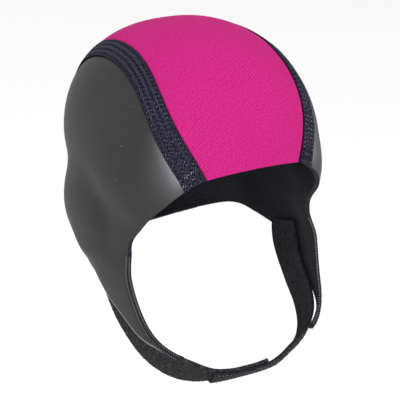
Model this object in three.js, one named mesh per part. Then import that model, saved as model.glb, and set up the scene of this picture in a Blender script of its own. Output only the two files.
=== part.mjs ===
import * as THREE from 'three';

// Neoprene swim cap with taped seams and a closed chin strap.
// Millimetres, z up, x to the wearer's left, the face opening towards -y.
// The origin is the inside of the crown, where the cap sits.

// Stock: thickness of each sheet and what the stitching squeezes it to
const PANEL_WALL = 3;
const PANEL_UNDER_TAPE = 2.1;
const TAPE_WALL = 1;
const STRAP_WALL = 2.2;
const TAB_WALL = 1.8;
const AIR = 0.3;

// Widths
const TAPE_WIDTH = 13.5;
const STRAP_WIDTH = 25;
const SHOULDER = 1.2;

// The flap lies over the strap: how high it rises, and where, in degrees below and ahead of the ear
const FLAP_RAISE = { high: 2.9, startBelow: 8, fullBelow: 21, startAhead: -26, fullAhead: -10 };

// The hollow of the worn cap: blended round forms, measured from the ear axis
const EAR_AXIS_DROP = 110.5;
const HOLLOW = [
  { part: 'crown', x: 0, y: 0, z: 40, wide: 71, front: 79, back: 94, up: 70.5, down: 62,
    square: [2.4, 2.2, 1.95], blend: 1 },
  { part: 'brow', x: 0, y: -26, z: 24, wide: 61, front: 45, back: 30, up: 20, down: 22,
    square: [2.8, 2.8, 2.8], blend: 14 },
  { part: 'nape', x: 0, y: 10, z: -20, wide: 61, front: 62, back: 72, up: 44, down: 42,
    square: [2.5, 2.5, 2.5], blend: 20 },
  { part: 'jaw', x: 0, y: -24, z: -46, wide: 61, front: 55, back: 38, up: 60, down: 57,
    square: [3, 3, 3], blend: 26 },
  { part: 'right ear', x: -62, y: 20, z: -3, wide: 9, front: 23, back: 24, up: 23, down: 19,
    square: [2, 2, 2], blend: 18 },
  { part: 'left ear', x: 62, y: 20, z: -3, wide: 9, front: 23, back: 24, up: 23, down: 19,
    square: [2, 2, 2], blend: 18 },
];

// Outlines on the hollow, in degrees. turn goes round the ear axis: 0 forward, 90 up, 180 back.
// reach is the distance from the ear axis, and 90 is the middle of the cap.
const FRONT_EDGE = [
  { turn: 31.2, reach: 90 },
  { turn: 30.6, reach: 70 },
  { turn: 28.1, reach: 62 },
  { turn: 23.5, reach: 53.3 },
  { turn: 9, reach: 38.4 },
  { turn: -9, reach: 31.6 },
  { turn: -29, reach: 36.8 },
  { turn: -41, reach: 46 },
  { turn: -45, reach: 55 },
  { turn: -45, reach: 66.5 },
];
const BACK_EDGE = [
  { turn: 212, reach: 90 },
  { turn: 211, reach: 70 },
  { turn: 212, reach: 54 },
  { turn: 217, reach: 43 },
  { turn: 232, reach: 34.5 },
  { turn: 255, reach: 30 },
  { turn: 277, reach: 29 },
  { turn: 294, reach: 39.5 },
  { turn: 307, reach: 51.3 },
  { turn: 312.8, reach: 59 },
  { turn: 314.2, reach: 66.5 },
];

// Edge of the crown panel: off is the angle from the middle of the cap at each turn
const SEAM = [
  { turn: 30, off: 19.4 },
  { turn: 45, off: 23 },
  { turn: 55, off: 24 },
  { turn: 65, off: 23.5 },
  { turn: 75, off: 22.2 },
  { turn: 90, off: 20.7 },
  { turn: 120, off: 19.3 },
  { turn: 165, off: 18.4 },
  { turn: 212, off: 17 },
];

// Middle line of the strap from under the right flap to the middle of the chin
const STRAP_LINE = [
  { turn: -84, off: 66.5 },
  { turn: -81, off: 60 },
  { turn: -74.5, off: 52.6 },
  { turn: -67.5, off: 45.2 },
  { turn: -61, off: 39.2 },
  { turn: -55.4, off: 31 },
  { turn: -53.2, off: 22.6 },
  { turn: -56, off: 13 },
  { turn: -59, off: 0 },
];
const STRAP_END_OFF = 9;
const TAB_END_OFF = -10.5;
const TAB_DROP_OFF = 10.5;
const TAB_SEAT_OFF = 19;
const TAB_END_SLANT = -14;
const CHIN_ROUNDING = 5;

// How finely each sheet is divided
const LENGTH_STEPS = 36;
const CROWN_STEPS = 9;
const TAPE_STEPS = 4;
const SIDE_STEPS = 18;
const STRAP_STEPS = 44;
const STRAP_ACROSS = 4;

// How fast the tape's curve fades from the side panel's rows on the way to the flap
const BOW_FADE = 2.5;

const RIGHT = -1;
const LEFT = 1;

// The hollow's surface lies between these distances from the ear axis
const NEAREST = 20;
const FURTHEST = 240;

function distanceTo(form, x, y, z) {
  const rx = form.wide;
  const ry = y < form.y ? form.front : form.back;
  const rz = z > form.z ? form.up : form.down;
  const [nx, ny, nz] = form.square;
  const ux = Math.abs(x - form.x) / rx;
  const uy = Math.abs(y - form.y) / ry;
  const uz = Math.abs(z - form.z) / rz;
  const sum = Math.max(ux ** nx + uy ** ny + uz ** nz, Number.EPSILON);
  const size = sum ** (1 / nx);
  const slope = Math.hypot(
    (ny / nx) * uy ** (ny - 1) / ry,
    ux ** (nx - 1) / rx,
    (nz / nx) * uz ** (nz - 1) / rz,
  ) * size / sum;
  return (size - 1) / Math.max(slope, Number.EPSILON);
}

function depth(x, y, z) {
  let value = distanceTo(HOLLOW[0], x, y, z);
  for (const form of HOLLOW.slice(1)) {
    const other = distanceTo(form, x, y, z);
    const mix = Math.max(form.blend - Math.abs(value - other), 0) / form.blend;
    value = Math.min(value, other) - mix * mix * form.blend / 4;
  }
  return value;
}

function onHollow(direction) {
  let inner = NEAREST;
  let outer = FURTHEST;
  while (outer - inner > 1e-4) {
    const middle = (inner + outer) / 2;
    const inside = depth(direction.x * middle, direction.y * middle, direction.z * middle) < 0;
    if (inside) inner = middle;
    else outer = middle;
  }
  return direction.clone().multiplyScalar(inner);
}

function outward(point) {
  const step = 0.3;
  const { x, y, z } = point;
  return new THREE.Vector3(
    depth(x + step, y, z) - depth(x - step, y, z),
    depth(x, y + step, z) - depth(x, y - step, z),
    depth(x, y, z + step) - depth(x, y, z - step),
  ).normalize();
}

// A place on the hollow from its turn and its angle off the middle, to the left if positive
function place(turn, off) {
  const t = THREE.MathUtils.degToRad(turn);
  const o = THREE.MathUtils.degToRad(off);
  const ahead = -Math.cos(o) * Math.cos(t);
  return onHollow(new THREE.Vector3(Math.sin(o), ahead, Math.cos(o) * Math.sin(t)));
}

// Flat chart of one side round its ear: x forward, y up, in degrees
function chartPoint({ turn, reach }) {
  const t = THREE.MathUtils.degToRad(turn);
  return new THREE.Vector2(reach * Math.cos(t), reach * Math.sin(t));
}

function placeFromChart(spot, side) {
  const reach = spot.length();
  const turn = THREE.MathUtils.radToDeg(Math.atan2(spot.y, spot.x));
  return place(turn, side * (90 - reach));
}

const frontCurve = new THREE.SplineCurve(FRONT_EDGE.map(chartPoint));
const backCurve = new THREE.SplineCurve(BACK_EDGE.map(chartPoint));

// Where an edge that starts at the middle of the cap comes to a given angle off the middle,
// in the stretch before it turns down past the ear
function edgeAt(curve, off) {
  let near = 0;
  let far = 0.4;
  while (far - near > 1e-6) {
    const middle = (near + far) / 2;
    if (90 - curve.getPoint(middle).length() < off) near = middle;
    else far = middle;
  }
  const spot = curve.getPoint(near);
  const turn = THREE.MathUtils.radToDeg(Math.atan2(spot.y, spot.x));
  return { at: near, turn: (turn + 360) % 360 };
}

// Smooth value between table rows
function between(rows, key, value, at) {
  const last = rows.length - 1;
  let i = 0;
  while (i < last - 1 && Math.abs(at - rows[0][key]) > Math.abs(rows[i + 1][key] - rows[0][key])) i += 1;
  const slopeAt = (k) => {
    const a = rows[Math.max(k - 1, 0)];
    const b = rows[Math.min(k + 1, last)];
    return (b[value] - a[value]) / (b[key] - a[key]);
  };
  const gap = rows[i + 1][key] - rows[i][key];
  const t = (at - rows[i][key]) / gap;
  const rise = rows[i + 1][value] - rows[i][value];
  const s0 = slopeAt(i) * gap;
  const s1 = slopeAt(i + 1) * gap;
  return rows[i][value] + t * (s0 + t * (3 * rise - 2 * s0 - s1 + t * (s0 + s1 - 2 * rise)));
}

// The seam at a station along the cap, 0 at the forehead and 1 at the nape
function seamOff(station) {
  const turn = THREE.MathUtils.lerp(SEAM[0].turn, SEAM.at(-1).turn, station);
  return between(SEAM, 'turn', 'off', turn);
}

function tapeDegrees(station) {
  const turn = THREE.MathUtils.lerp(SEAM[0].turn, SEAM.at(-1).turn, station);
  return THREE.MathUtils.radToDeg(TAPE_WIDTH / place(turn, seamOff(station)).length());
}

// Angle off the middle at a share of the tape's width, 0 on the crown side and 1 on the ear side
function tapeOff(station, share) {
  return seamOff(station) + share * tapeDegrees(station);
}

function turnAt(station, off) {
  const front = edgeAt(frontCurve, Math.abs(off)).turn;
  const back = edgeAt(backCurve, Math.abs(off)).turn;
  return THREE.MathUtils.lerp(front, back, station);
}

// A wall between two lifts off the hollow, over a net of places joined by four-sided cells
function wall(places, cells) {
  const count = places.length;
  const position = new Float32Array(count * 6);
  places.forEach(({ point, low, high }, i) => {
    const normal = outward(point);
    const drop = new THREE.Vector3(0, 0, -EAR_AXIS_DROP);
    point.clone().addScaledVector(normal, high).add(drop).toArray(position, i * 3);
    point.clone().addScaledVector(normal, low).add(drop).toArray(position, (count + i) * 3);
  });
  const index = [];
  const edges = new Map();
  for (const [a, b, c, d] of cells) {
    index.push(a, b, c, a, c, d);
    index.push(count + c, count + b, count + a, count + d, count + c, count + a);
    for (const [from, to] of [[a, b], [b, c], [c, d], [d, a]]) {
      if (!edges.delete(`${to} ${from}`)) edges.set(`${from} ${to}`, [from, to]);
    }
  }
  for (const [from, to] of edges.values()) {
    index.push(to, from, count + from, to, count + from, count + to);
  }
  const geometry = new THREE.BufferGeometry();
  geometry.setAttribute('position', new THREE.BufferAttribute(position, 3));
  geometry.setIndex(facingOut(position, index));
  geometry.computeVertexNormals();
  return geometry;
}

function facingOut(position, index) {
  const corner = (i) => new THREE.Vector3().fromArray(position, index[i] * 3);
  let volume = 0;
  for (let i = 0; i < index.length; i += 3) {
    volume += corner(i).dot(corner(i + 1).cross(corner(i + 2)));
  }
  return volume > 0 ? index : index.slice().reverse();
}

function gridCells(rows, columns) {
  const cells = [];
  for (let r = 0; r < rows; r += 1) {
    for (let c = 0; c < columns; c += 1) {
      const a = r * (columns + 1) + c;
      cells.push([a, a + 1, a + columns + 2, a + columns + 1]);
    }
  }
  return cells;
}

function crownPanel() {
  const seamShare = 0.5 - AIR / 2 / TAPE_WIDTH;
  const underTape = [seamShare, seamShare / 2, 0];
  const places = [];
  for (let r = 0; r <= LENGTH_STEPS; r += 1) {
    const station = r / LENGTH_STEPS;
    const shoulder = tapeOff(station, -SHOULDER / TAPE_WIDTH);
    const under = underTape.map((share) => tapeOff(station, share));
    const row = [
      ...under.map((off) => [-off, PANEL_UNDER_TAPE]),
      ...Array.from({ length: CROWN_STEPS + 1 }, (_, i) => {
        return [shoulder * (2 * i / CROWN_STEPS - 1), PANEL_WALL];
      }),
      ...under.reverse().map((off) => [off, PANEL_UNDER_TAPE]),
    ];
    for (const [off, high] of row) {
      places.push({ point: place(turnAt(station, off), off), low: 0, high });
    }
  }
  return wall(places, gridCells(LENGTH_STEPS, CROWN_STEPS + 2 * underTape.length));
}

function seamTape(side) {
  const low = PANEL_UNDER_TAPE + AIR;
  const places = [];
  for (let r = 0; r <= LENGTH_STEPS; r += 1) {
    for (let c = 0; c <= TAPE_STEPS; c += 1) {
      const off = tapeOff(r / LENGTH_STEPS, c / TAPE_STEPS);
      const point = place(turnAt(r / LENGTH_STEPS, off), side * off);
      places.push({ point, low, high: low + TAPE_WALL });
    }
  }
  return wall(places, gridCells(LENGTH_STEPS, TAPE_STEPS));
}

function raise(spot) {
  const { high, startBelow, fullBelow, startAhead, fullAhead } = FLAP_RAISE;
  const below = THREE.MathUtils.smoothstep(-spot.y, startBelow, fullBelow);
  const ahead = THREE.MathUtils.smoothstep(spot.x, startAhead, fullAhead);
  return high * below * ahead;
}

function sidePanel(side) {
  const places = [];
  const seat = (spot, wallHeight) => {
    const low = raise(spot);
    places.push({ point: placeFromChart(spot, side), low, high: low + wallHeight });
  };
  const chartAt = (station, share) => {
    const off = tapeOff(station, share);
    return chartPoint({ turn: turnAt(station, off), reach: 90 - off });
  };

  // Each row starts under the tape and runs across the ear down to the flap's tip
  const seamShare = 0.5 + AIR / 2 / TAPE_WIDTH;
  const clearShare = 1 + SHOULDER / TAPE_WIDTH;
  const front = edgeBelow(frontCurve, tapeOff(0, clearShare));
  const back = edgeBelow(backCurve, tapeOff(1, clearShare));
  for (let r = 0; r <= LENGTH_STEPS; r += 1) {
    const station = r / LENGTH_STEPS;
    for (const share of [seamShare, (1 + seamShare) / 2, 1]) {
      seat(chartAt(station, share), PANEL_UNDER_TAPE);
    }
    const bow = chartAt(station, clearShare).sub(front(0).lerp(back(0), station));
    for (let c = 0; c <= SIDE_STEPS; c += 1) {
      const down = c / SIDE_STEPS;
      const spot = front(down).lerp(back(down), station);
      seat(spot.addScaledVector(bow, (1 - down) ** BOW_FADE), PANEL_WALL);
    }
  }
  return wall(places, gridCells(LENGTH_STEPS, SIDE_STEPS + 3));
}

// The rest of an edge, from a given angle off the middle down to the flap's tip
function edgeBelow(curve, off) {
  const start = edgeAt(curve, off).at;
  return (share) => curve.getPoint(THREE.MathUtils.lerp(start, 1, share));
}

// Middle line of the strap, from under the right flap, below zero, to under the left one
function strapMiddle(off) {
  const rounded = Math.hypot(off, CHIN_ROUNDING);
  return place(between(STRAP_LINE, 'off', 'turn', rounded), off);
}

function strapPiece(fromOff, toOff, lifts) {
  const steps = Math.round(STRAP_STEPS * Math.abs(toOff - fromOff) / (2 * STRAP_LINE[0].off));
  const places = [];
  for (let r = 0; r <= steps; r += 1) {
    const off = THREE.MathUtils.lerp(fromOff, toOff, r / steps);
    const middle = strapMiddle(off);
    const along = strapMiddle(off + 0.5).sub(strapMiddle(off - 0.5)).normalize();
    const across = outward(middle).cross(along).normalize();
    const { low, high, slant = 0 } = lifts(off);
    for (let c = 0; c <= STRAP_ACROSS; c += 1) {
      const share = c / STRAP_ACROSS - 0.5;
      const spot = middle.clone().addScaledVector(across, STRAP_WIDTH * share);
      spot.addScaledVector(along, slant * share);
      places.push({ point: onHollow(spot.normalize()), low, high });
    }
  }
  return wall(places, gridCells(steps, STRAP_ACROSS));
}

function chinStrap() {
  const start = -STRAP_LINE[0].off;
  return strapPiece(start, STRAP_END_OFF, () => ({ low: 0, high: STRAP_WALL }));
}

function strapTab() {
  const top = STRAP_WALL + AIR;
  return strapPiece(TAB_END_OFF, STRAP_LINE[0].off, (off) => {
    const seated = THREE.MathUtils.smoothstep(off, TAB_DROP_OFF, TAB_SEAT_OFF);
    const low = top * (1 - seated);
    const cut = THREE.MathUtils.smoothstep(off, TAB_END_OFF, TAB_SEAT_OFF);
    return { low, high: low + TAB_WALL, slant: TAB_END_SLANT * (1 - cut) };
  });
}

function finish(color, roughness) {
  return new THREE.MeshStandardMaterial({ color, roughness, metalness: 0 });
}

const jersey = finish(0xde2d8c, 0.85);
const tapeKnit = finish(0x262937, 0.8);
const smoothSkin = finish(0x454547, 0.42);
const loopPile = finish(0x2c2c2f, 0.95);

const pieces = [
  ['crown_panel', crownPanel(), jersey],
  ['seam_tape_right', seamTape(RIGHT), tapeKnit],
  ['seam_tape_left', seamTape(LEFT), tapeKnit],
  ['side_panel_right', sidePanel(RIGHT), smoothSkin],
  ['side_panel_left', sidePanel(LEFT), smoothSkin],
  ['chin_strap', chinStrap(), loopPile],
  ['strap_tab', strapTab(), tapeKnit],
];

const group = new THREE.Group();
for (const [name, geometry, material] of pieces) {
  const mesh = new THREE.Mesh(geometry, material);
  mesh.name = name;
  group.add(mesh);
}

export default group;
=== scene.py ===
import math

import bpy
import numpy as np
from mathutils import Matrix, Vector


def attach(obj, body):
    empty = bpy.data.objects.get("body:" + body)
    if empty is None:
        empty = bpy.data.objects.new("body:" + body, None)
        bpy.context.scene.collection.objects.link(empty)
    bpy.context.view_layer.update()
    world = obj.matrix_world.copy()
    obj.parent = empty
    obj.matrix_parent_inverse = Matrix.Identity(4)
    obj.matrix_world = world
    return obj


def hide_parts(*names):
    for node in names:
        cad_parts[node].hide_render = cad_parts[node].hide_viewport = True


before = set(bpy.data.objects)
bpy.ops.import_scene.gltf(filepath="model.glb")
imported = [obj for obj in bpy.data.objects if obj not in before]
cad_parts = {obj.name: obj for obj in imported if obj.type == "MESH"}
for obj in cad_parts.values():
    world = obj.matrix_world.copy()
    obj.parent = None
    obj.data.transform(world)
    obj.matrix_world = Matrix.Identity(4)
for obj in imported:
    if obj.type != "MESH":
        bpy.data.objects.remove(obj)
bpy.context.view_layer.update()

# Camera
# It stands 1.1 m off, to the wearer's right and a little above, behind a long lens, and looks past the
# middle of the line between the ears, which lies left of and above the middle of the picture.
EAR_AXIS_Z = -0.1105
AZIMUTH = math.radians(-28)
ELEVATION = math.radians(23)
CAMERA_DISTANCE = 1.1
CAMERA_ASIDE = 0.0045
CAMERA_BELOW = 0.0025
LENS_MM = 155.4

camera_back = Vector((
    math.sin(AZIMUTH) * math.cos(ELEVATION),
    -math.cos(AZIMUTH) * math.cos(ELEVATION),
    math.sin(ELEVATION),
))
camera_right = Vector((math.cos(AZIMUTH), math.sin(AZIMUTH), 0))
camera_up = camera_back.cross(camera_right)
camera_target = Vector((0, 0, EAR_AXIS_Z)) + camera_right * CAMERA_ASIDE - camera_up * CAMERA_BELOW
bpy.ops.object.select_all(action="DESELECT")
bpy.ops.object.camera_add(
    location=camera_target + camera_back * CAMERA_DISTANCE,
    rotation=(-camera_back).to_track_quat("-Z", "Y").to_euler(),
)
camera = bpy.context.object
camera.data.lens = LENS_MM
camera.data.sensor_width = 36
camera.data.clip_end = 30
bpy.context.scene.camera = camera
bpy.context.scene.view_settings.view_transform = "Standard"

# Studio
# A pale matt floor well below the cap, which keeps its worn shape, a white surround that fills every
# shadow, and large soft boxes: one high up, one behind on the left, and two low in front.
FLOOR_Z = -0.62
FLOOR_SIZE = 14
SURROUND_STRENGTH = 0.84
SOFT_BOXES = [
    {"name": "overhead", "place": (-1.2, -0.4, 3.4), "size": 3.8, "watts": 44},
    {"name": "left_back", "place": (-1.5, 0.7, 0.5), "size": 1.1, "watts": 2},
    {"name": "right_front", "place": (1.1, -1.1, 0.6), "size": 0.5, "watts": 7},
    {"name": "left_front", "place": (-0.95, -1.4, 0.6), "size": 0.8, "watts": 13},
]

bpy.ops.mesh.primitive_plane_add(size=FLOOR_SIZE, location=(0, 0, FLOOR_Z))
floor = bpy.context.object
floor.name = "floor"
floor.data.transform(floor.matrix_basis)
floor.matrix_basis.identity()
floor_paint = bpy.data.materials.new("floor_paint")
floor_paint.use_nodes = True
floor_paint.node_tree.nodes["Principled BSDF"].inputs["Base Color"].default_value = (0.94, 0.94, 0.94, 1)
floor_paint.node_tree.nodes["Principled BSDF"].inputs["Roughness"].default_value = 0.9
floor.data.materials.append(floor_paint)

surround = bpy.data.worlds.new("surround")
surround.use_nodes = True
surround.node_tree.nodes["Background"].inputs["Color"].default_value = (1, 1, 1, 1)
surround.node_tree.nodes["Background"].inputs["Strength"].default_value = SURROUND_STRENGTH
bpy.context.scene.world = surround

for box in SOFT_BOXES:
    place = Vector(box["place"])
    aim = (Vector((0, 0, EAR_AXIS_Z)) - place).to_track_quat("-Z", "Y").to_euler()
    bpy.ops.object.light_add(type="AREA", location=place, rotation=aim)
    lamp = bpy.context.object
    lamp.name = box["name"]
    lamp.data.shape = "DISK"
    lamp.data.size = box["size"]
    lamp.data.energy = box["watts"]

# Crown panel
# One sheet of 3 mm neoprene from the forehead over the crown to the nape, magenta nylon jersey outside
# and black jersey inside. It is stretched over a round form, and the taped seams pinch its long edges.
PANEL_WALL = 0.003
PANEL_UNDER_TAPE = 0.0021
GAP = 0.0003
TAPE_WIDTH = 0.0135
CROWN_LENGTH = 0.335
CROWN_RADIUS = 0.105
PINCH_REACH = 0.0005
RIM_ANGLE = math.radians(55)

# The hollow of the worn cap: round forms, blended in this order, measured from the ear axis.
# square holds how boxy a form is along x, y and z. Every ray from the ear axis leaves it between
# the shortest and the longest one.
SHORTEST_RAY, LONGEST_RAY = 0.02, 0.24
RAY_HALVINGS = 24
HOLLOW = [
    {"part": "crown", "centre": (0, 0, 0.040), "wide": 0.071, "front": 0.079, "back": 0.094,
     "up": 0.0705, "down": 0.062, "square": (2.4, 2.2, 1.95), "blend": 0.001},
    {"part": "brow", "centre": (0, -0.026, 0.024), "wide": 0.061, "front": 0.045, "back": 0.030,
     "up": 0.020, "down": 0.022, "square": (2.8, 2.8, 2.8), "blend": 0.014},
    {"part": "nape", "centre": (0, 0.010, -0.020), "wide": 0.061, "front": 0.062, "back": 0.072,
     "up": 0.044, "down": 0.042, "square": (2.5, 2.5, 2.5), "blend": 0.020},
    {"part": "jaw", "centre": (0, -0.024, -0.046), "wide": 0.061, "front": 0.055, "back": 0.038,
     "up": 0.060, "down": 0.057, "square": (3, 3, 3), "blend": 0.026},
    {"part": "right ear", "centre": (-0.062, 0.020, -0.003), "wide": 0.009, "front": 0.023, "back": 0.024,
     "up": 0.023, "down": 0.019, "square": (2, 2, 2), "blend": 0.018},
    {"part": "left ear", "centre": (0.062, 0.020, -0.003), "wide": 0.009, "front": 0.023, "back": 0.024,
     "up": 0.023, "down": 0.019, "square": (2, 2, 2), "blend": 0.018},
]

# Outlines on the hollow, in degrees. turn goes round the ear axis: 0 forward, 90 up, 180 back.
# reach is the distance from the ear axis, and 90 is the middle of the cap.
FRONT_EDGE = [
    {"turn": 31.2, "reach": 90},
    {"turn": 30.6, "reach": 70},
    {"turn": 28.1, "reach": 62},
    {"turn": 23.5, "reach": 53.3},
    {"turn": 9, "reach": 38.4},
    {"turn": -9, "reach": 31.6},
    {"turn": -29, "reach": 36.8},
    {"turn": -41, "reach": 46},
    {"turn": -45, "reach": 55},
    {"turn": -45, "reach": 66.5},
]
BACK_EDGE = [
    {"turn": 212, "reach": 90},
    {"turn": 211, "reach": 70},
    {"turn": 212, "reach": 54},
    {"turn": 217, "reach": 43},
    {"turn": 232, "reach": 34.5},
    {"turn": 255, "reach": 30},
    {"turn": 277, "reach": 29},
    {"turn": 294, "reach": 39.5},
    {"turn": 307, "reach": 51.3},
    {"turn": 312.8, "reach": 59},
    {"turn": 314.2, "reach": 66.5},
]

# The first share of each outline, where the seams and the side panels' upper ends meet it
EDGE_SEARCH = 0.4
EDGE_SEARCH_STEPS = 3000

# Where each tape starts beside the crown panel: off is the angle from the middle of the cap
SEAM = [
    {"turn": 30, "off": 19.4},
    {"turn": 45, "off": 23},
    {"turn": 55, "off": 24},
    {"turn": 65, "off": 23.5},
    {"turn": 75, "off": 22.2},
    {"turn": 90, "off": 20.7},
    {"turn": 120, "off": 19.3},
    {"turn": 165, "off": 18.4},
    {"turn": 212, "off": 17},
]


def distance_to(form, points):
    """Roughly how far points lie outside one round form."""
    q = points - np.array(form["centre"])
    radii = np.stack([
        np.full(len(q), form["wide"]),
        np.where(q[:, 1] < 0, form["front"], form["back"]),
        np.where(q[:, 2] > 0, form["up"], form["down"]),
    ], axis=1)
    powers = np.array(form["square"], float)
    share = np.abs(q) / radii
    total = np.maximum((share ** powers).sum(axis=1), 1e-12)
    size = total ** (1 / powers[0])
    steepness = np.linalg.norm(powers / powers[0] * share ** (powers - 1) / radii, axis=1)
    return (size - 1) / np.maximum(steepness * size / total, 1e-9)


def depth(points):
    """Below zero inside the hollow, above zero outside it."""
    value = distance_to(HOLLOW[0], points)
    for form in HOLLOW[1:]:
        other = distance_to(form, points)
        mix = np.maximum(form["blend"] - np.abs(value - other), 0) / form["blend"]
        value = np.minimum(value, other) - mix * mix * form["blend"] / 4
    return value


def on_hollow(directions):
    """The points where rays from the ear axis leave the hollow."""
    directions = directions / np.linalg.norm(directions, axis=1)[:, None]
    inner = np.full(len(directions), SHORTEST_RAY)
    outer = np.full(len(directions), LONGEST_RAY)
    for _ in range(RAY_HALVINGS):
        middle = (inner + outer) / 2
        inside = depth(directions * middle[:, None]) < 0
        inner = np.where(inside, middle, inner)
        outer = np.where(inside, outer, middle)
    return directions * inner[:, None]


def outward(points):
    """The hollow's normal at points on it."""
    step = 0.0003
    slopes = [depth(points + step * axis) - depth(points - step * axis) for axis in np.eye(3)]
    normals = np.stack(slopes, axis=1)
    return normals / np.linalg.norm(normals, axis=1)[:, None]


def place_at(turn, off):
    """Points on the hollow from their turn and their angle off the middle, to the left if positive."""
    turn, off = np.radians(turn), np.radians(off)
    reach = np.cos(off)
    return on_hollow(np.stack([np.sin(off), -reach * np.cos(turn), reach * np.sin(turn)], axis=1))


def lifted(points, lift):
    """The points raised off the hollow by lift and brought from the ear axis to the cap's own origin."""
    return points + outward(points) * np.reshape(lift, (-1, 1)) + np.array((0, 0, EAR_AXIS_Z))


def chart(rows):
    """An outline's points on the flat chart round the ear: x forward, y up, in degrees."""
    turns = np.radians([row["turn"] for row in rows])
    reaches = np.array([row["reach"] for row in rows])
    return np.stack([reaches * np.cos(turns), reaches * np.sin(turns)], axis=1)


def along_curve(knots, at):
    """Points of a smooth curve through the knots, at shares from 0 to 1 of their count."""
    last = len(knots) - 1
    place = np.clip(np.asarray(at) * last, 0, last)
    i = np.minimum(place.astype(int), last - 1)
    t = (place - i)[:, None]
    a, b = knots[np.maximum(i - 1, 0)], knots[i]
    c, d = knots[i + 1], knots[np.minimum(i + 2, last)]
    v0, v1 = (c - a) / 2, (d - b) / 2
    return (2 * b - 2 * c + v0 + v1) * t ** 3 + (3 * c - 3 * b - 2 * v0 - v1) * t ** 2 + v0 * t + b


def turn_of(spots):
    return np.degrees(np.arctan2(spots[:, 1], spots[:, 0])) % 360


def between(rows, key, value, at):
    """Smooth value between table rows, with the slope at a row taken from its neighbours."""
    keys = np.array([row[key] for row in rows], float)
    values = np.array([row[value] for row in rows], float)
    if keys[0] > keys[-1]:
        keys, values = keys[::-1], values[::-1]
    slopes = np.empty(len(keys))
    slopes[1:-1] = (values[2:] - values[:-2]) / (keys[2:] - keys[:-2])
    slopes[0] = (values[1] - values[0]) / (keys[1] - keys[0])
    slopes[-1] = (values[-1] - values[-2]) / (keys[-1] - keys[-2])
    i = np.clip(np.searchsorted(keys, at) - 1, 0, len(keys) - 2)
    gap = keys[i + 1] - keys[i]
    t = (at - keys[i]) / gap
    rise = values[i + 1] - values[i]
    s0, s1 = slopes[i] * gap, slopes[i + 1] * gap
    return values[i] + t * (s0 + t * (3 * rise - 2 * s0 - s1 + t * (s0 + s1 - 2 * rise)))


front_curve, back_curve = chart(FRONT_EDGE), chart(BACK_EDGE)


def edge_at(knots, off):
    """Where an edge that starts at the middle of the cap comes to an angle off it: share and turn."""
    shares = np.linspace(0, EDGE_SEARCH, EDGE_SEARCH_STEPS)
    spots = along_curve(knots, shares)
    offs = 90 - np.linalg.norm(spots, axis=1)
    return np.interp(off, offs, shares), np.interp(off, offs, turn_of(spots))


def turn_at(station, off):
    """The turn at a station along the cap, 0 at the forehead and 1 at the nape."""
    front = edge_at(front_curve, np.abs(off))[1]
    back = edge_at(back_curve, np.abs(off))[1]
    return front + (back - front) * station


def seam_turn(station):
    return SEAM[0]["turn"] + (SEAM[-1]["turn"] - SEAM[0]["turn"]) * station


def seam_off(station):
    return between(SEAM, "turn", "off", seam_turn(station))


# Degrees off the middle for a metre across the seam, at each station
seam_stations = np.linspace(0, 1, 60)
seam_radii = np.linalg.norm(place_at(seam_turn(seam_stations), seam_off(seam_stations)), axis=1)


def degrees_per_metre(station):
    return np.degrees(1 / np.interp(station, seam_stations, seam_radii))


def pinched(past_seam):
    """The wall's height beside a tape: pressed flat under it, and full again a little way off."""
    full = 1 - np.exp(-np.maximum(past_seam, 0) / PINCH_REACH)
    return PANEL_UNDER_TAPE + (PANEL_WALL - PANEL_UNDER_TAPE) * full


def lay(name, columns, rows, rule):
    """A grid primitive laid out by rule(across, along), each 0 to 1, which gives points and cloth uv."""
    bpy.ops.object.select_all(action="DESELECT")
    bpy.ops.mesh.primitive_grid_add(x_subdivisions=columns, y_subdivisions=rows, size=1)
    sheet = bpy.context.object
    sheet.name = name
    sheet.data.name = name
    mesh = sheet.data
    flat = np.empty(len(mesh.vertices) * 3)
    mesh.vertices.foreach_get("co", flat)
    flat = flat.reshape(-1, 3) + 0.5
    points, cloth = rule(flat[:, 0], flat[:, 1])
    mesh.vertices.foreach_set("co", points.ravel())
    corners = np.empty(len(mesh.loops), int)
    mesh.loops.foreach_get("vertex_index", corners)
    mesh.uv_layers.active.data.foreach_set("uv", cloth[corners].ravel())
    mesh.update()
    middle = mesh.polygons[len(mesh.polygons) // 2]
    if middle.normal.dot(middle.center - Vector((0, 0, EAR_AXIS_Z))) < 0:
        bpy.ops.object.mode_set(mode="EDIT")
        bpy.ops.mesh.select_all(action="SELECT")
        bpy.ops.mesh.flip_normals()
        bpy.ops.object.mode_set(mode="OBJECT")
    return sheet


def give_wall(sheet, heights, rim, steps=3, rim_material=1):
    """Turns a laid sheet into a closed wall that reaches inwards by heights, with a rounded rim."""
    thickest = float(np.max(heights))
    group = sheet.vertex_groups.new(name="wall")
    for i, share in enumerate(np.broadcast_to(heights, len(sheet.data.vertices)) / thickest):
        group.add([i], float(share), "REPLACE")
    solid = sheet.modifiers.new("wall", "SOLIDIFY")
    solid.thickness = thickest
    solid.offset = -1
    solid.vertex_group = "wall"
    solid.material_offset = 1
    solid.material_offset_rim = 1
    bpy.ops.object.modifier_apply(modifier="wall")
    edge = sheet.modifiers.new("rim", "BEVEL")
    edge.limit_method = "ANGLE"
    edge.angle_limit = RIM_ANGLE
    edge.width = rim
    edge.segments = steps
    edge.material = rim_material
    bpy.ops.object.modifier_apply(modifier="rim")
    bpy.ops.object.shade_smooth()


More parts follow.
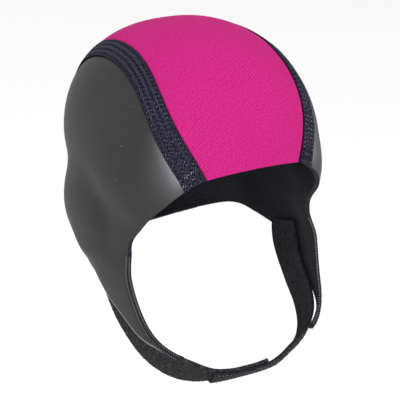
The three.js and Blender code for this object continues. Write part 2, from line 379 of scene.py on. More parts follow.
def sow(name, finish, centres, runs, ups, sizes):
    """Short rounded threads as one piece. Each one lies round its centre, along its run, and sizes are
    half its length, width and height."""
    bpy.ops.object.select_all(action="DESELECT")
    bpy.ops.mesh.primitive_uv_sphere_add(segments=6, ring_count=4, radius=1)
    threads = bpy.context.object
    threads.name = name
    threads.data.name = name
    bead = np.array([vertex.co for vertex in threads.data.vertices])
    faces = [list(face.vertices) for face in threads.data.polygons]
    runs = runs / np.linalg.norm(runs, axis=1)[:, None]
    sides = np.cross(ups, runs)
    sides = sides / np.linalg.norm(sides, axis=1)[:, None]
    axes = np.stack([runs, sides, np.cross(runs, sides)], axis=1) * np.asarray(sizes)[..., :, None]
    points = (bead @ axes + centres[:, None]).reshape(-1, 3)
    every = [[corner + i * len(bead) for corner in face] for i in range(len(centres)) for face in faces]
    threads.data.clear_geometry()
    threads.data.from_pydata(points.tolist(), [], every)
    threads.data.materials.append(finish.material)
    bpy.ops.object.shade_smooth()
    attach(threads, "root")
    return threads


class Wire:
    """A node's socket, or a number, in sums that add their own Math nodes."""

    def __init__(self, finish, socket):
        self.finish = finish
        self.socket = socket

    def math(self, operation, *others):
        return self.finish.node("ShaderNodeMath", {"operation": operation}, self, *others)

    def __add__(self, other):
        return self.math("ADD", other)

    def __radd__(self, other):
        return self.math("ADD", other)

    def __sub__(self, other):
        return self.math("SUBTRACT", other)

    def __rsub__(self, other):
        return self.finish.node("ShaderNodeMath", {"operation": "SUBTRACT"}, other, self)

    def __mul__(self, other):
        return self.math("MULTIPLY", other)

    def __rmul__(self, other):
        return self.math("MULTIPLY", other)

    def __truediv__(self, other):
        return self.math("DIVIDE", other)

class Finish:
    """One procedural material. node() adds a node: its settings first, then its sockets' values."""

    def __init__(self, name, roughness, **plain):
        self.material = bpy.data.materials.new(name)
        self.material.use_nodes = True
        self.tree = self.material.node_tree
        self.shader = self.tree.nodes["Principled BSDF"]
        self.shader.inputs["Roughness"].default_value = roughness
        for socket, value in plain.items():
            self.shader.inputs[socket.replace("_", " ")].default_value = value

    def fill(self, socket, value):
        if isinstance(value, Wire):
            self.tree.links.new(value.socket, socket)
        else:
            socket.default_value = value

    def node(self, kind, settings=None, *values, output=0, **named):
        made = self.tree.nodes.new(kind)
        for key, value in (settings or {}).items():
            if key == "stops":
                ramp = made.color_ramp
                while len(ramp.elements) < len(value):
                    ramp.elements.new(0.5)
                for stop, (at, colour) in zip(ramp.elements, value):
                    stop.position = at
                    stop.color = colour
            else:
                setattr(made, key, value)
        for socket, value in zip(made.inputs, values):
            self.fill(socket, value)
        for key, value in named.items():
            name = key.replace("_", " ")
            self.fill(next(s for s in made.inputs if s.name == name and s.enabled), value)
        shown = [s for s in made.outputs if s.enabled]
        return Wire(self, shown[output])

    def place(self):
        return self.node("ShaderNodeTexCoord", output=3)

    def cloth(self):
        return self.node("ShaderNodeTexCoord", output=2)

    def split(self, vector):
        made = self.node("ShaderNodeSeparateXYZ", None, vector).socket.node
        return [Wire(self, socket) for socket in made.outputs]

    def noise(self, vector, scale, detail=2, roughness=0.5):
        return self.node("ShaderNodeTexNoise", None, Vector=vector, Scale=scale, Detail=detail,
                         Roughness=roughness)

    def blend(self, factor, a, b):
        return self.node("ShaderNodeMix", {"data_type": "RGBA"}, Factor=factor, A=a, B=b)

    def ramp(self, factor, low, high):
        """0 up to low, 1 from high on, and a smooth rise between."""
        return self.node("ShaderNodeMapRange", {"interpolation_type": "SMOOTHSTEP"}, factor, low, high)

    def colour(self, value):
        self.fill(self.shader.inputs["Base Color"], value)

    def roughness(self, value):
        self.fill(self.shader.inputs["Roughness"], value)

    def relief(self, height, distance, strength=1):
        bump = self.node("ShaderNodeBump", None, Strength=strength, Distance=distance, Height=height)
        self.fill(self.shader.inputs["Normal"], bump)


# Magenta jersey: fine slanting wales, some of them lighter, on a cloth that is slightly uneven
WALE_PITCH = 0.0015
WALE_SLANT = math.radians(50)
jersey = Finish("magenta_jersey", 0.85, Specular_IOR_Level=0.08)
jersey_u, jersey_v, _ = jersey.split(jersey.cloth())
wale_place = (jersey_u * math.cos(WALE_SLANT) - jersey_v * math.sin(WALE_SLANT)) / WALE_PITCH
wander = jersey.noise(jersey.cloth(), 90, detail=3)
wale = ((wale_place + wander * 0.9) * (2 * math.pi)).math("SINE") * 0.5 + 0.5
grain = jersey.noise(jersey.cloth(), 900, detail=3, roughness=0.7)
clouds = jersey.noise(jersey.cloth(), 22, detail=3)
wale_strength = jersey.ramp(jersey.noise(jersey.cloth(), 24, detail=1), 0.42, 0.62)
wale_breaks = jersey.ramp(jersey.noise(jersey.cloth(), 420, detail=1), 0.35, 0.6)
wale_tone = (wale - 0.5) * wale_strength * wale_breaks * 0.8
cloth_tone = wale_tone + (grain - 0.5) * 1.5 + (clouds - 0.5) * 0.15 + 0.5
jersey.colour(jersey.blend(cloth_tone, (0.26, 0.003, 0.082, 1), (0.61, 0.025, 0.232, 1)))
jersey.relief(wale * 0.6 + grain, 0.00025, 0.6)

# Black jersey lining and the cut edge of the foam
lining = Finish("black_lining", 0.9, Specular_IOR_Level=0.2)
knit = lining.noise(lining.cloth(), 1300, detail=2)
lining.colour(lining.blend(lining.ramp(knit, 0.35, 0.75), (0.006, 0.006, 0.009, 1), (0.03, 0.031, 0.04, 1)))
lining.relief(knit, 0.0003, 0.7)

CROWN_RIM = 0.0007
CROWN_ROWS = 200
CROWN_MIDDLE_COLUMNS = 70
EDGE_COLUMNS = 15
EDGE_ZONE = 0.003
UNDER_COLUMNS = 6
under_tape = TAPE_WIDTH / 2 - GAP / 2

# Columns from the middle of the panel: a share of the way to the zone beside the tape, then metres on
edge_steps = np.concatenate([
    np.linspace(0, EDGE_ZONE, EDGE_COLUMNS + 1)[1:],
    EDGE_ZONE + np.linspace(0, under_tape, UNDER_COLUMNS + 1)[1:],
])
crown_shares = np.concatenate([
    np.full(len(edge_steps), -1.0),
    np.linspace(-1, 1, CROWN_MIDDLE_COLUMNS + 1),
    np.full(len(edge_steps), 1.0),
])
crown_extra = np.concatenate([-edge_steps[::-1], np.zeros(CROWN_MIDDLE_COLUMNS + 1), edge_steps])
crown_columns = len(crown_shares) - 1


def crown_off(across, station):
    """The angle off the middle at a column, and how far short of the tape it lies, in metres."""
    column = np.rint(across * crown_columns).astype(int)
    scale = degrees_per_metre(station)
    inner = seam_off(station) - EDGE_ZONE * scale
    off = crown_shares[column] * inner + crown_extra[column] * scale
    return off, (seam_off(station) - np.abs(off)) / scale


def crown_rule(across, station):
    off, short_of_tape = crown_off(across, station)
    points = lifted(place_at(turn_at(station, off), off), pinched(short_of_tape))
    return points, np.stack([np.radians(off) * CROWN_RADIUS, station * CROWN_LENGTH], axis=1)


crown = lay("crown_neoprene", crown_columns, CROWN_ROWS, crown_rule)
crown.data.materials.append(jersey.material)
crown.data.materials.append(lining.material)
# The primitive's vertices run across first, row by row
across = np.tile(np.linspace(0, 1, crown_columns + 1), CROWN_ROWS + 1)
station = np.repeat(np.linspace(0, 1, CROWN_ROWS + 1), crown_columns + 1)
give_wall(crown, pinched(crown_off(across, station)[1]), rim=CROWN_RIM)
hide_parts("crown_panel")
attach(crown, "root")

# Side panels
# Two sheets of 3 mm neoprene, black jersey inside and bare closed-cell rubber skin outside, which has a
# satin shine. Each one covers an ear and a cheek and narrows to a flap, whose edge lies over the strap.
FLAP_RAISE = {"high": 0.0029, "start_below": 8, "full_below": 21, "start_ahead": -26, "full_ahead": -10}
SIDE_ROWS = 200
SIDE_COLUMNS = 96
BOW_FADE = 2.5
SIDE_EDGE_COLUMNS = 26
SIDE_EDGE_ZONE = 0.009
SWELL = 0.0008
SWELL_REACH = 0.004
LIP_REACH = 0.00035
SIDE_EDGE_CROWDING = 1.6
SIDE_RADIUS = 0.075
SIDE_RIM = 0.0005
SIDES = {"right": -1, "left": 1}

# The hem along the face edge: two rows draw the skin in, and dashes of thread lie over the cut edge and
# beside it. start and end are shares of the face edge.
HEM_ROWS = (0.001, 0.0028)
HEM_ROW_REACH = 0.00035
HEM_DEPTH = 0.0003
HEM_FADE = (5, 10)
HEM_DASHES = {"start": 0.61, "end": 0.98, "count": 56, "half_size": (0.0006, 0.0003, 0.00022)}
HEM_DASH_ROWS = [
    {"inset": -0.0001, "below_skin": 0.0015, "over_edge": True},
    {"inset": 0.0011, "below_skin": 0, "over_edge": False},
]
HEM_BAND = {"width": 0.0026, "start": 0.58, "grows_from": 0.6, "full_from": 0.76}
CUT_LINE = {"width": 0.0009, "start": 0.45, "end": 0.985}

# A painted sheen beside each tape's front end: the skin is painted lighter there, most along the lip beside
# the tape, as a painted reflection of the front soft boxes. The first row is in shares of the tape's
# length, the second
#  in metres away from the tape.
PAINTED_SHEEN = {"full_from": 0.035, "full_until": 0.03, "gone_at": 0.18, "at_front": 0.3,
         "reach": 0.002, "more_reach": 0.0035, "lip_reach": 0.0006}


def smooth(value, low, high):
    t = np.clip((value - low) / (high - low), 0, 1)
    return t * t * (3 - 2 * t)


def flap_raise(spots):
    below = smooth(-spots[:, 1], FLAP_RAISE["start_below"], FLAP_RAISE["full_below"])
    ahead = smooth(spots[:, 0], FLAP_RAISE["start_ahead"], FLAP_RAISE["full_ahead"])
    return FLAP_RAISE["high"] * below * ahead


def place_from_chart(spots, side):
    return place_at(turn_of(spots), side * (90 - np.linalg.norm(spots, axis=1)))


def chart_spot(turn, off):
    turn = np.radians(turn)
    return (90 - off)[:, None] * np.stack([np.cos(turn), np.sin(turn)], axis=1)


def tape_spot(station, share):
    off = seam_off(station) + share * TAPE_WIDTH * degrees_per_metre(station)
    return chart_spot(turn_at(station, off), off)


def edge_below(knots, off):
    """The rest of an edge, from an angle off the middle down to the flap's tip, by shares of it."""
    start = edge_at(knots, off)[0]
    return lambda shares: along_curve(knots, start + (1 - start) * shares)


# Columns of a side panel: metres past the tape at first, then shares of the way down to the flap's tip
side_past = np.concatenate([
    np.linspace(-under_tape, 0, UNDER_COLUMNS + 1)[:-1],
    SIDE_EDGE_ZONE * np.linspace(0, 1, SIDE_EDGE_COLUMNS + 1) ** SIDE_EDGE_CROWDING,
    np.full(SIDE_COLUMNS, SIDE_EDGE_ZONE),
])
side_down = np.concatenate([
    np.zeros(UNDER_COLUMNS + SIDE_EDGE_COLUMNS),
    np.linspace(0, 1, SIDE_COLUMNS + 1),
])
side_columns = len(side_past) - 1
side_ends = tape_spot(np.array((0.0, 1.0)), 1 + SIDE_EDGE_ZONE / TAPE_WIDTH)
front_below = edge_below(front_curve, 90 - np.linalg.norm(side_ends[0]))
back_below = edge_below(back_curve, 90 - np.linalg.norm(side_ends[1]))


def side_spots(across, station):
    """Chart spots of a side panel's net, whose rows bow with the tape and straighten on the way down."""
    column = np.rint(across * side_columns).astype(int)
    down, station_share = side_down[column], station[:, None]
    beside = tape_spot(station, 1 + side_past[column] / TAPE_WIDTH)
    bow = beside - side_ends[0] - (side_ends[1] - side_ends[0]) * station_share
    front, back = front_below(down), back_below(down)
    return front + (back - front) * station_share + bow * ((1 - down) ** BOW_FADE)[:, None]


def distance_to_line(points, line):
    nearest = np.full(len(points), np.inf)
    for spot in line:
        nearest = np.minimum(nearest, np.linalg.norm(points - spot, axis=1))
    return nearest


def side_wall(across):
    """The wall's height at each column: pinched under the tape, with a lip beside it that swells slowly."""
    past = np.maximum(side_past[np.rint(across * side_columns).astype(int)], 0)
    lip = PANEL_WALL - PANEL_UNDER_TAPE - SWELL
    return PANEL_WALL - SWELL * np.exp(-past / SWELL_REACH) - lip * np.exp(-past / LIP_REACH)


def inset_line(knots, shares, inset):
    """Chart spots along an edge, moved into the panel by metres."""
    spots = along_curve(knots, shares)
    run = along_curve(knots, shares + 0.002) - along_curve(knots, shares - 0.002)
    run = run / np.linalg.norm(run, axis=1)[:, None]
    inwards = np.stack([run[:, 1], -run[:, 0]], axis=1)
    return spots + inwards * np.degrees(inset / SIDE_RADIUS)


def hem_sink(spots):
    """How deep the two hem rows draw the skin in, along the cheek and the flap."""
    edge = along_curve(front_curve, np.linspace(0.3, 1, 400))
    inset = np.radians(distance_to_line(spots, edge)) * SIDE_RADIUS
    sink = sum(HEM_DEPTH * np.exp(-((inset - row) / HEM_ROW_REACH) ** 2) for row in HEM_ROWS)
    return sink * smooth(-spots[:, 1], *HEM_FADE)


side_across = np.tile(np.linspace(0, 1, side_columns + 1), SIDE_ROWS + 1)
side_station = np.repeat(np.linspace(0, 1, SIDE_ROWS + 1), side_columns + 1)
side_heights = side_wall(side_across) - hem_sink(side_spots(side_across, side_station))

# Smooth-skin rubber: satin, with faint clouds, tiny pores, a few specks of dust, and a painted sheen beside
# each tape's front end
skin = Finish("smooth_skin", 0.5, Specular_IOR_Level=0.08, Coat_Weight=0.08, Coat_Roughness=0.35)
skin_clouds = skin.noise(skin.place(), 28, detail=4)
skin_pores = skin.noise(skin.place(), 1900, detail=1)
specks = skin.ramp(skin.noise(skin.place(), 520, detail=0), 0.83, 0.85)
skin_tone = skin.blend(skin_clouds, (0.022, 0.022, 0.0225, 1), (0.036, 0.036, 0.037, 1))
# Painted highlight: the skin's colour is lightened by the painted sheen kept on each vertex, a painted
# reflection of the front soft boxes
drawn = skin.node("ShaderNodeAttribute", {"attribute_name": "drawn"}, output=2)
painted_sheen_tone = skin.blend(drawn * (skin_pores * 0.8 + 0.6), skin_tone, (0.25, 0.25, 0.275, 1))
skin.colour(skin.blend(specks * 0.35, painted_sheen_tone, (0.2, 0.2, 0.22, 1)))
skin.roughness(skin_clouds * 0.12 + 0.44)
skin.relief(skin_pores + skin.noise(skin.place(), 160) * 0.8, 0.00012, 0.5)

# Bare foam, where the flap's rear edge is cut and left open, painted a lighter grey than the foam as a
# painted highlight along that edge
cut_foam_highlight = Finish("cut_foam_highlight", 0.6)
foam_cells = cut_foam_highlight.noise(cut_foam_highlight.place(), 1600, detail=2)
cut_foam_highlight.colour(cut_foam_highlight.blend(foam_cells, (0.1, 0.1, 0.105, 1), (0.24, 0.24, 0.25, 1)))
cut_foam_highlight.relief(foam_cells, 0.0002, 0.6)


def paint_near(panel, side, spots, reach, slot):
    """Gives the faces near a line of chart spots on the panel's outside another of its materials."""
    line = lifted(place_from_chart(spots, side), flap_raise(spots) + PANEL_WALL)
    middles = np.array([face.center for face in panel.data.polygons])
    for number in np.nonzero(distance_to_line(middles, line) < reach)[0]:
        panel.data.polygons[int(number)].material_index = slot


def mark_painted_sheen(panel, side):
    """Keeps at each vertex how strongly the painted sheen lightens the skin, most beside the tape's front
    end and along its lip.
    """
    stations = np.linspace(0, PAINTED_SHEEN["gone_at"], 72)
    line = lifted(place_from_chart(tape_spot(stations, 1), side), PANEL_WALL)
    spots = np.array([vertex.co for vertex in panel.data.vertices])
    pale = np.zeros(len(spots))
    for station, place in zip(stations, line):
        rise = PAINTED_SHEEN["at_front"] + (1 - PAINTED_SHEEN["at_front"]) * smooth(station, 0, PAINTED_SHEEN["full_from"])
        sheen_share = (1 - smooth(station, PAINTED_SHEEN["full_until"], PAINTED_SHEEN["gone_at"])) * rise
        near = np.linalg.norm(spots - place, axis=1)
        broad = 0.8 * np.exp(-near / (PAINTED_SHEEN["reach"] + PAINTED_SHEEN["more_reach"] * sheen_share))
        lip = 0.6 * np.exp(-near / PAINTED_SHEEN["lip_reach"])
        pale = np.maximum(pale, sheen_share * (broad + lip))
    panel.data.attributes.new("drawn", "FLOAT", "POINT").data.foreach_set("value", pale)


# The hem's black band, which narrows to nothing at its upper end, and the cut rear edge with its painted
# highlight
band_shares = np.linspace(HEM_BAND["start"], 1, 300)
band_growth = smooth(band_shares, HEM_BAND["grows_from"], HEM_BAND["full_from"])
band_inset = -HEM_BAND["width"] * (1 - band_growth)
hem_band = inset_line(front_curve, band_shares, band_inset[:, None])
cut_line = along_curve(back_curve, np.linspace(CUT_LINE["start"], CUT_LINE["end"], 400))

# Black sewing thread, and the grey one of the hems
thread = Finish("dark_thread", 0.7, Specular_IOR_Level=0.15)
thread_twist = thread.noise(thread.place(), 2400, detail=1)
thread.colour(thread.blend(thread_twist, (0.002, 0.002, 0.004, 1), (0.012, 0.012, 0.018, 1)))
thread.relief(thread_twist, 0.0001, 0.5)
hem_thread = Finish("hem_thread", 0.6)
hem_twist = hem_thread.noise(hem_thread.place(), 900)
hem_thread.colour(hem_thread.blend(hem_twist, (0.05, 0.05, 0.053, 1), (0.3, 0.3, 0.31, 1)))

for label, side in SIDES.items():
    def side_rule(across, station):
        spots = side_spots(across, station)
        raised = flap_raise(spots) + side_heights
        return lifted(place_from_chart(spots, side), raised), np.radians(spots) * SIDE_RADIUS

    panel = lay(f"side_neoprene_{label}", side_columns, SIDE_ROWS, side_rule)
    panel.data.materials.append(skin.material)
    panel.data.materials.append(lining.material)
    panel.data.materials.append(cut_foam_highlight.material)
    give_wall(panel, side_heights, rim=SIDE_RIM)
    mark_painted_sheen(panel, side)
    paint_near(panel, side, cut_line, CUT_LINE["width"], 2)
    paint_near(panel, side, hem_band, HEM_BAND["width"], 1)
    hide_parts(f"side_panel_{label}")
    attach(panel, "root")

    # Hem stitches, short grey dashes in two rows: one over the cut face edge, one beside it on the skin
    centres, runs, ups = [], [], []
    for row in HEM_DASH_ROWS:
        steps = (np.arange(HEM_DASHES["count"]) + 0.5 * row["over_edge"]) / HEM_DASHES["count"]
        shares = HEM_DASHES["start"] + (HEM_DASHES["end"] - HEM_DASHES["start"]) * steps
        spots = inset_line(front_curve, shares, row["inset"])
        inner = inset_line(front_curve, shares, row["inset"] + 0.001)
        lift = flap_raise(spots) + PANEL_WALL - row["below_skin"]
        up = outward(place_from_chart(spots, side))
        centres.append(lifted(place_from_chart(spots, side), lift))
        inwards = lifted(place_from_chart(inner, side), lift) - centres[-1]
        runs.append(up if row["over_edge"] else inwards)
        ups.append(inwards if row["over_edge"] else up)
    hem = sow(f"hem_stitches_{label}", hem_thread, np.concatenate(centres), np.concatenate(runs),
              np.concatenate(ups), HEM_DASHES["half_size"])

# Seam tapes
# Dark knitted nylon tape, 13.5 mm wide, laid over each seam and sewn down with four rows of stitches,
# which sink into it and leave five soft ribs. Two tacks cross it near the face edge.
TAPE_LIFT = 0.0024
TAPE_WALL = 0.001
TAPE_PROUD = 0.00015
TAPE_LENGTH = 0.33
TAPE_RIM = 0.0003
TAPE_ROWS = 330
TAPE_COLUMNS = 56
STITCH_ROWS = (0.125, 0.375, 0.625, 0.875)
STITCH_STEP = 0.25
STITCHES = 106
STITCH_SINK = 0.00014
FLAT_STITCH_SINK = 0.0005
LOOPER_HALF_SIZE = (0.0017, 0.00022, 0.0005)
KNOT_HALF_SIZE = (0.0003, 0.00022, 0.0003)
TACKS = (0.0045, 0.0092)
TACK_DASHES = 9
TACK_SINK = 0.0002
TACK_HALF_LENGTH = 0.0011
TACK_HALF_HEIGHT = 0.00025

# How deep the tape's top sinks, and how far to each side
RIB_DEPTH, RIB_REACH = 0.00055, 0.0005
TACK_DEPTH, TACK_REACH = 0.0007, 0.0007
TAPE_EDGE_SINK = 0.0005
DEEPEST_SINK = 0.0008


def tape_height(share, from_front):
    """The tape's top over its own wall: sunk at its edges, along each stitch row and at each tack."""
    sink = (np.abs(2 * share - 1) ** 10) * TAPE_EDGE_SINK
    for row in STITCH_ROWS:
        sink = sink + RIB_DEPTH * np.exp(-((share - row) * TAPE_WIDTH / RIB_REACH) ** 2)
    for tack in TACKS:
        sink = sink + TACK_DEPTH * np.exp(-((from_front - tack) / TACK_REACH) ** 2)
    return TAPE_WALL + TAPE_PROUD - np.minimum(sink, DEEPEST_SINK)


tape_knit = Finish("tape_knit", 0.85, Specular_IOR_Level=0.15)
tape_u, tape_v, _ = tape_knit.split(tape_knit.cloth())
tape_grain = tape_knit.noise(tape_knit.cloth(), 1050, detail=3, roughness=0.7)
zigzag = ((tape_u / 0.0034 + (tape_v / 0.0031).math("PINGPONG", 0.5)) * (2 * math.pi)).math("SINE")
tape_tone = tape_knit.ramp(tape_grain + zigzag * 0.05, 0.42, 0.62)
# Darker along the four stitch grooves as painted shade, and at both edges, partly a dark selvedge and
# partly painted shade of the seam's groove
off_centre = (tape_u - TAPE_WIDTH / 2).math("ABSOLUTE")
selvedge_and_shade = tape_knit.ramp(off_centre, TAPE_WIDTH * 0.45, TAPE_WIDTH * 0.48)
knit_tone = tape_knit.blend(tape_tone, (0.001, 0.001, 0.003, 1), (0.042, 0.041, 0.078, 1))
groove_wave = ((tape_u / TAPE_WIDTH / STITCH_STEP + 0.5) * (2 * math.pi)).math("COSINE")
groove_shade = tape_knit.ramp(groove_wave, 0.55, 0.95) * tape_knit.ramp(tape_v, 0.04, 0.075) * 0.75
shade_and_selvedge = selvedge_and_shade.math("MAXIMUM", groove_shade)
tape_knit.colour(tape_knit.blend(shade_and_selvedge, knit_tone, (0.001, 0.001, 0.003, 1)))
tape_knit.relief(tape_grain + zigzag * 0.25, 0.0004, 0.8)

# Dark thread with pale patches, a painted glint, for the needle knots, the right tacks and the tab's
# stitches
painted_glint_thread = Finish("painted_glint_thread", 0.5)
glint_mix = painted_glint_thread.ramp(painted_glint_thread.noise(painted_glint_thread.place(), 260, detail=1), 0.38, 0.66)
painted_glint_thread.colour(painted_glint_thread.blend(glint_mix, (0.03, 0.033, 0.05, 1), (0.4, 0.42, 0.47, 1)))

# The tacks slant: along is the slant down the tape and across over it, as shares of its length and width
# On the right the dashes are thread with a painted glint; on the left, wide dark dashes give thread and the
# painted shade in the tack's groove
TACK_LOOKS = {
    "right": {"finish": painted_glint_thread, "along": 0.003, "across": -0.06, "half_width": 0.00017},
    "left": {"finish": thread, "along": -0.0008, "across": 0.08, "half_width": 0.0006},
}


def tape_points(station, share, side):
    off = seam_off(station) + share * TAPE_WIDTH * degrees_per_metre(station)
    return place_at(turn_at(station, off), side * off)


tape_across = np.tile(np.linspace(0, 1, TAPE_COLUMNS + 1), TAPE_ROWS + 1)
tape_along = np.repeat(np.linspace(0, 1, TAPE_ROWS + 1), TAPE_COLUMNS + 1)
tape_heights = tape_height(tape_across, tape_along * TAPE_LENGTH)

for label, side in SIDES.items():
    def tape_rule(across, along):
        points = lifted(tape_points(along, across, side), TAPE_LIFT + tape_heights)
        return points, np.stack([across * TAPE_WIDTH, along * TAPE_LENGTH], axis=1)

    tape = lay(f"cover_tape_{label}", TAPE_COLUMNS, TAPE_ROWS, tape_rule)
    tape.data.materials.append(tape_knit.material)
    tape.data.materials.append(tape_knit.material)
    give_wall(tape, tape_heights, rim=TAPE_RIM, steps=2)
    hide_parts(f"seam_tape_{label}")
    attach(tape, "root")

    # Cover stitch: dark loopers that zigzag over the ribs between needle knots in the four rows; the knots'
    # pale patches are a painted glint
    knots, knot_runs, knot_ups = [], [], []
    loopers, looper_runs, looper_ups = [], [], []
    tape_top = TAPE_LIFT + TAPE_WALL
    for number, row in enumerate(STITCH_ROWS):
        here = (np.arange(STITCHES) + 0.5 + 0.5 * (number % 2)) / (STITCHES + 1)
        spots = tape_points(here, np.full(STITCHES, row), side)
        sink = STITCH_SINK + FLAT_STITCH_SINK * smooth(here, 0.12, 0.25)
        knots.append(lifted(spots, tape_top - sink))
        ahead = lifted(tape_points(here + 0.002, np.full(STITCHES, row), side), tape_top)
        knot_runs.append(ahead - knots[-1])
        knot_ups.append(outward(spots))
    for number in range(len(STITCH_ROWS) - 1):
        for shift in (0, 1):
            a, b = knots[number][:STITCHES - 1 + shift], knots[number + 1][:STITCHES - 1 + shift]
            if shift == 0:
                a, b = (a[1:], b[:-1]) if number % 2 == 0 else (a[:-1], b[1:])
            loopers.append((a + b) / 2)
            looper_runs.append(b - a)
            looper_ups.append(knot_ups[number][:len(a)])
    loops = sow(f"cover_loopers_{label}", thread, np.concatenate(loopers), np.concatenate(looper_runs),
                np.concatenate(looper_ups), LOOPER_HALF_SIZE)
    needle = sow(f"cover_knots_{label}", painted_glint_thread, np.concatenate(knots), np.concatenate(knot_runs),
                 np.concatenate(knot_ups), KNOT_HALF_SIZE)

    # Two tacks cross each tape near the face edge: slanting dashes side by side
    looks = TACK_LOOKS[label]
    shares = np.tile(np.linspace(0.08, 0.92, TACK_DASHES), len(TACKS))
    away = np.repeat(np.array(TACKS), TACK_DASHES) / TAPE_LENGTH
    spots = tape_points(away, shares, side)
    dashes = lifted(spots, tape_top - TACK_SINK)
    ends = tape_points(away + looks["along"], shares + looks["across"], side)
    slanted = lifted(ends, tape_top - TACK_SINK)
    tack = sow(f"tape_tacks_{label}", looks["finish"], dashes, slanted - dashes, outward(spots),
               (TACK_HALF_LENGTH, looks["half_width"], TACK_HALF_HEIGHT))

# Chin strap
# A soft laminated strap, 25 mm wide and 2.2 mm thick, faced with brushed loops. It is sewn under the
# right flap and runs under the chin, where its end takes the tab.
STRAP_WALL = 0.0022
STRAP_WIDTH = 0.025
STRAP_LENGTH = 0.175
STRAP_RIM = 0.0007
STRAP_LINE = [
    {"turn": -84, "off": 66.5},
    {"turn": -81, "off": 60},
    {"turn": -74.5, "off": 52.6},
    {"turn": -67.5, "off": 45.2},
    {"turn": -61, "off": 39.2},
    {"turn": -55.4, "off": 31},
    {"turn": -53.2, "off": 22.6},
    {"turn": -56, "off": 13},
    {"turn": -59, "off": 0},
]
STRAP_TOP_OFF = 66.5
STRAP_END_OFF = 9
CHIN_ROUNDING = 5
STRAP_ROWS = 150
STRAP_COLUMNS = 24
PILE_LOOPS = 3600
PILE_HALF_SIZE = (0.00065, 0.00009, 0.00009)


def strap_middle(off):
    return place_at(between(STRAP_LINE, "off", "turn", np.hypot(off, CHIN_ROUNDING)), off)


def strap_points(off, share, slant=0):
    """Points on the hollow across the strap, share 0 to 1 from one edge to the other."""
    middle = strap_middle(off)
    run = strap_middle(off + 0.5) - strap_middle(off - 0.5)
    run = run / np.linalg.norm(run, axis=1)[:, None]
    cross = np.cross(outward(middle), run)
    cross = cross / np.linalg.norm(cross, axis=1)[:, None]
    wide = (np.asarray(share) - 0.5)[:, None]
    return on_hollow(middle + cross * STRAP_WIDTH * wide + run * np.reshape(slant, (-1, 1)) * wide)


loop_pile = Finish("loop_pile", 0.95, Specular_IOR_Level=0.2)
brushed = loop_pile.node("ShaderNodeMapping", None, Vector=loop_pile.cloth(), Scale=(1, 0.3, 1))
tufts = loop_pile.noise(brushed, 1000, detail=4, roughness=0.7)
flecks = loop_pile.ramp(loop_pile.noise(loop_pile.place(), 950, detail=1), 0.68, 0.76)
tuft_tone = loop_pile.ramp(tufts, 0.38, 0.66)
pile_tone = loop_pile.blend(tuft_tone, (0.004, 0.004, 0.005, 1), (0.046, 0.046, 0.05, 1))
loop_pile.colour(loop_pile.blend(flecks * 0.5, pile_tone, (0.22, 0.22, 0.235, 1)))
loop_pile.relief(tufts, 0.0008, 1)


def strap_rule(across, along):
    off = -STRAP_TOP_OFF + along * (STRAP_END_OFF + STRAP_TOP_OFF)
    points = lifted(strap_points(off, across), STRAP_WALL)
    return points, np.stack([across * STRAP_WIDTH, along * STRAP_LENGTH], axis=1)


strap = lay("loop_strap", STRAP_COLUMNS, STRAP_ROWS, strap_rule)
strap.data.materials.append(loop_pile.material)
strap.data.materials.append(loop_pile.material)
give_wall(strap, STRAP_WALL, rim=STRAP_RIM)
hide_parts("chin_strap")
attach(strap, "root")

# The pile: short fibre loops brushed along the strap, each one leaning its own way
chance = np.random.default_rng(7)
pile_across = chance.uniform(0.02, 0.98, PILE_LOOPS)
pile_off = chance.uniform(-STRAP_TOP_OFF + 1, STRAP_END_OFF - 1, PILE_LOOPS)
pile_roots = strap_points(pile_off, pile_across)
pile_tips = strap_points(pile_off + chance.normal(0.35, 0.25, PILE_LOOPS),
                         pile_across + chance.normal(0, 0.018, PILE_LOOPS))
pile_height = chance.uniform(0.0001, 0.0007, PILE_LOOPS)
pile_start = lifted(pile_roots, STRAP_WALL)
pile_run = lifted(pile_tips, STRAP_WALL + pile_height) - pile_start
pile = sow("strap_pile", loop_pile, pile_start + pile_run * 0.4, pile_run, outward(pile_roots),
           PILE_HALF_SIZE)

# Fastening tab
# A thinner knitted tab sewn under the left flap. It laps over the strap's end under the chin, where its
# hooks hold the strap's loops, and rows of stitches run along and across it.
TAB_WALL = 0.0018
TAB_RIM = 0.0005
TAB_END_OFF = -10.5
TAB_DROP_OFF = 10.5
TAB_SEAT_OFF = 19
TAB_END_SLANT = -0.014
TAB_ROWS = (0.06, 0.18, 0.31, 0.44, 0.56, 0.69, 0.82, 0.94)
TAB_STITCH_HALF_SIZE = (0.0004, 0.00026, 0.00024)
TAB_STITCHES = {"close_step": 1.5, "close_until": 12, "step": 2.2, "shift": 0.75}


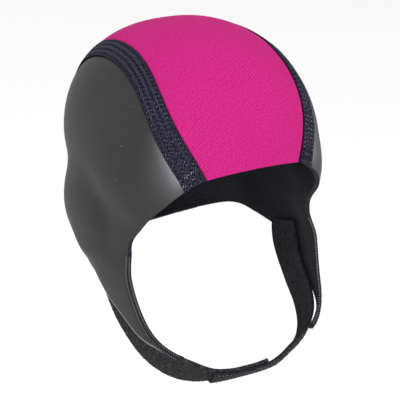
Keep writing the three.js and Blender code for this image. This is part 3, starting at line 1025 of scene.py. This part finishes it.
def tab_points(off, across, extra=0):
    lift = (STRAP_WALL + GAP) * (1 - smooth(off, TAB_DROP_OFF, TAB_SEAT_OFF)) + TAB_WALL + extra
    slant = TAB_END_SLANT * (1 - smooth(off, TAB_END_OFF, TAB_SEAT_OFF))
    return lifted(strap_points(off, across, slant), lift)


def tab_rule(across, along):
    points = tab_points(TAB_END_OFF + along * (STRAP_TOP_OFF - TAB_END_OFF), across)
    return points, np.stack([across * STRAP_WIDTH, along * STRAP_LENGTH], axis=1)


tab_knit = Finish("tab_knit", 0.9, Specular_IOR_Level=0.15)
tab_grain = tab_knit.noise(tab_knit.place(), 1200, detail=3, roughness=0.7)
tab_tone = tab_knit.ramp(tab_grain, 0.4, 0.65)
tab_knit.colour(tab_knit.blend(tab_tone, (0.002, 0.002, 0.003, 1), (0.032, 0.032, 0.04, 1)))
tab_knit.relief(tab_grain, 0.0004, 0.8)

tab = lay("tab_strap", STRAP_COLUMNS, STRAP_ROWS, tab_rule)
tab.data.materials.append(tab_knit.material)
tab.data.materials.append(tab_knit.material)
give_wall(tab, TAB_WALL, rim=TAB_RIM)
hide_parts("strap_tab")
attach(tab, "root")

# Its stitches: rows along it from edge to edge, closer together over the last stretch, in the thread with a
# painted glint
stitch_off = np.concatenate([
    np.arange(TAB_END_OFF + 1.2, TAB_STITCHES["close_until"], TAB_STITCHES["close_step"]),
    np.arange(TAB_STITCHES["close_until"], STRAP_TOP_OFF - 12, TAB_STITCHES["step"]),
])
every_other = np.repeat(np.arange(len(TAB_ROWS)) % 2, len(stitch_off))
tab_off = np.tile(stitch_off, len(TAB_ROWS)) + every_other * TAB_STITCHES["shift"]
tab_across = np.repeat(np.array(TAB_ROWS), len(stitch_off))
tab_spots = tab_points(tab_off, tab_across)
tab_runs = tab_points(tab_off + 0.4, tab_across) - tab_spots
tab_ups = outward(tab_spots - np.array((0, 0, EAR_AXIS_Z)))
tab_stitches = sow("tab_stitches", painted_glint_thread, tab_spots, tab_runs, tab_ups, TAB_STITCH_HALF_SIZE)
